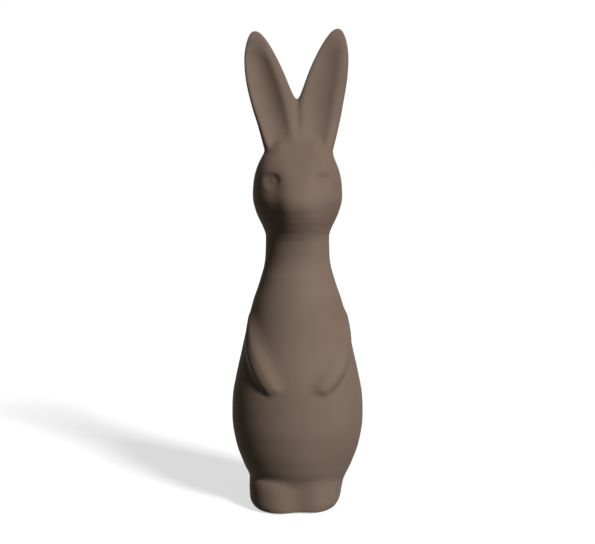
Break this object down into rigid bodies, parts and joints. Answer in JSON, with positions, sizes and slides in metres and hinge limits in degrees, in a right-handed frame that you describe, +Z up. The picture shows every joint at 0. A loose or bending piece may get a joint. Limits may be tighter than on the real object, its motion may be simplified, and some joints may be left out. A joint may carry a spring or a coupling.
{
  "type": "ceramic rabbit figurine",
  "caption": "Slim standing rabbit figurine in matte taupe ceramic: hollow body and head, upright dished ears, low-relief forelegs, rounded feet, a tail and a closed base on felt pads.",
  "frame": {"origin": "centre of the box's bottom face, on the plane that the felt pads rest on", "axes": "+Z up from the pads to the ear tips, the rabbit looks along -Y, its left side is +X"},
  "size_m": [0.0828, 0.0837, 0.3],
  "materials": {
    "glazed_ceramic": "matte taupe glaze with a faint mottle",
    "bare_ceramic": "unglazed bisque, slightly rough",
    "felt": "pressed wool felt"
  },
  "bodies": {
    "root": {"torso_shell": "glazed_ceramic", "head_shell": "glazed_ceramic", "left_ear": "glazed_ceramic", "right_ear": "glazed_ceramic", "left_foreleg": "glazed_ceramic", "right_foreleg": "glazed_ceramic", "left_foot": "glazed_ceramic", "right_foot": "glazed_ceramic", "tail": "glazed_ceramic", "base_plate": "bare_ceramic", "felt_pad_1": "felt", "felt_pad_2": "felt", "felt_pad_3": "felt", "felt_pad_4": "felt"}
  },
  "joints": []
}
